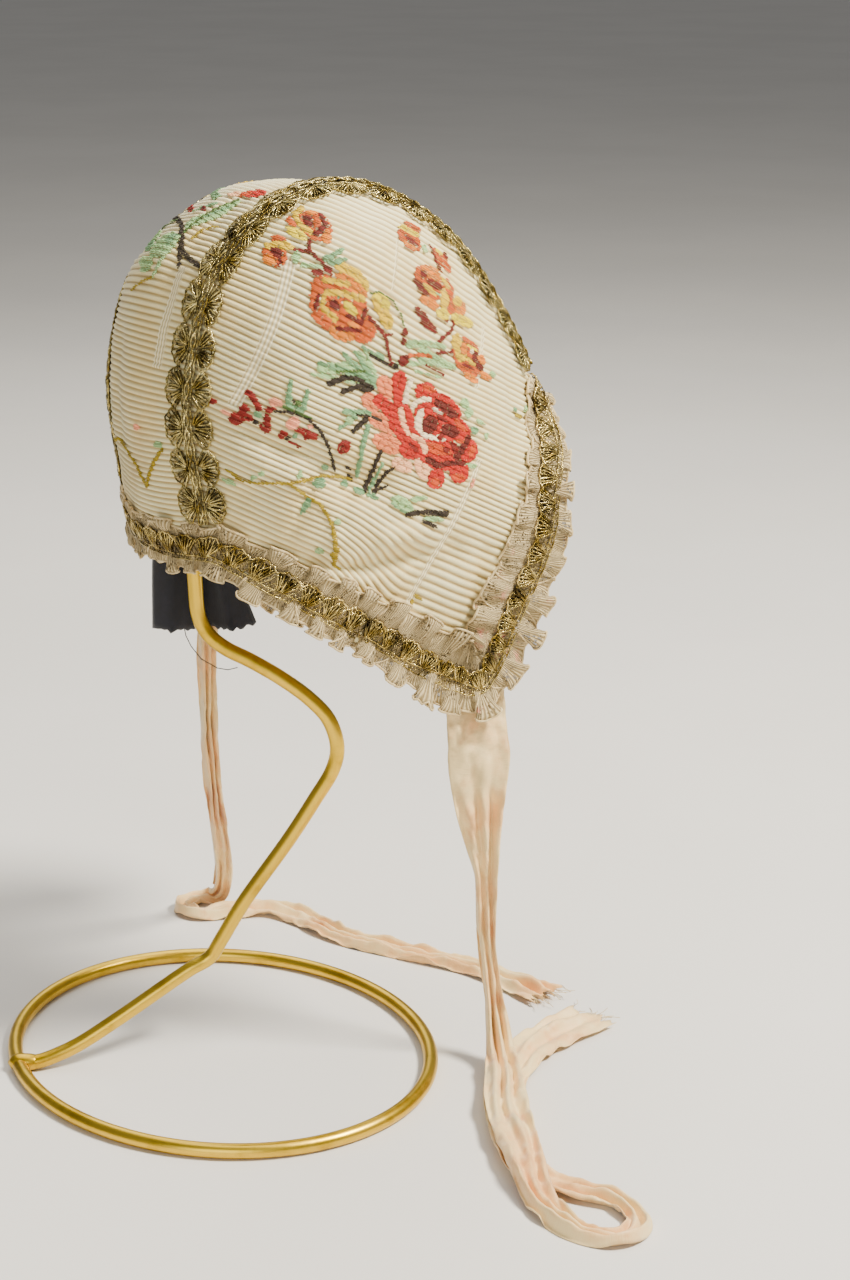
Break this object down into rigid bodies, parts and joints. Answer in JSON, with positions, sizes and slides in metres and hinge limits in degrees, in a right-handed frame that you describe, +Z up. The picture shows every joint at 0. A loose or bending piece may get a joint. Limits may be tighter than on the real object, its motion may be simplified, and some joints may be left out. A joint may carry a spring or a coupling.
{
  "type": "baby bonnet on a wire stand",
  "caption": "Three-panel infant hood with metal braid along the seams, gathered lace edge and long ribbon ties, held up by a padded bent wire stand with a ring foot",
  "frame": {"origin": "middle of the whole part's box at floor height", "axes": "+Z up, the face opening looks along -Y, the wearer's right side is at -X, millimetre-true in metres"},
  "size_m": [0.2972, 0.1956, 0.2972],
  "materials": {
    "crown_silk": "ribbed cream silk",
    "right_silk": "ribbed cream silk",
    "left_silk": "ribbed cream silk",
    "lace": "aged net lace",
    "edge_gold": "tarnished metal thread",
    "seam_braid_right_gold": "tarnished metal thread",
    "seam_braid_left_gold": "tarnished metal thread",
    "tie_ribbon_right_silk": "faded silk ribbon",
    "tie_ribbon_left_silk": "faded silk ribbon",
    "brass": "polished round wire",
    "pad_black": "black cloth",
    "cloth_black": "black cloth"
  },
  "bodies": {
    "root": {"crown_panel": "crown_silk", "side_panel_right": "right_silk", "side_panel_left": "left_silk", "lace_edging": "lace", "edge_braid": "edge_gold", "seam_braid_right": "seam_braid_right_gold", "seam_braid_left": "seam_braid_left_gold", "tie_ribbon_right": "tie_ribbon_right_silk", "tie_ribbon_left": "tie_ribbon_left_silk", "wire_stand": "brass", "head_pad": "pad_black", "pad_cloth": "cloth_black"}
  },
  "joints": []
}
